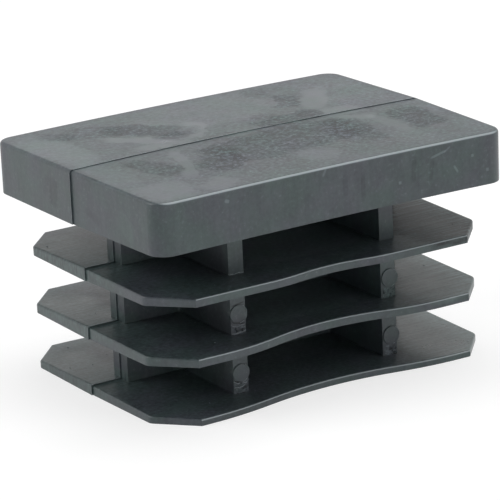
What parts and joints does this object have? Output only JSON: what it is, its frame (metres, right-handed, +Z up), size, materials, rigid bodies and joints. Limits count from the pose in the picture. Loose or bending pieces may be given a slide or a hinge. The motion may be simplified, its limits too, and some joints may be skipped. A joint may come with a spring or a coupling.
{
  "type": "ribbed tube end cap",
  "caption": "Push-in end cap for a rectangular tube, dark grey moulded plastic, with a thick head plate and thin gripping fins on a ribbed web.",
  "frame": {"origin": "middle of the seat under the head, where the end of the tube bears", "axes": "+X along the head's length, +Z up out of the tube through the head's top, Y across the parting plane of the mould"},
  "size_m": [0.0401, 0.0304, 0.0226],
  "materials": {
    "moulded_plastic": "satin"
  },
  "bodies": {
    "root": {"end_cap": "moulded_plastic"}
  },
  "joints": []
}
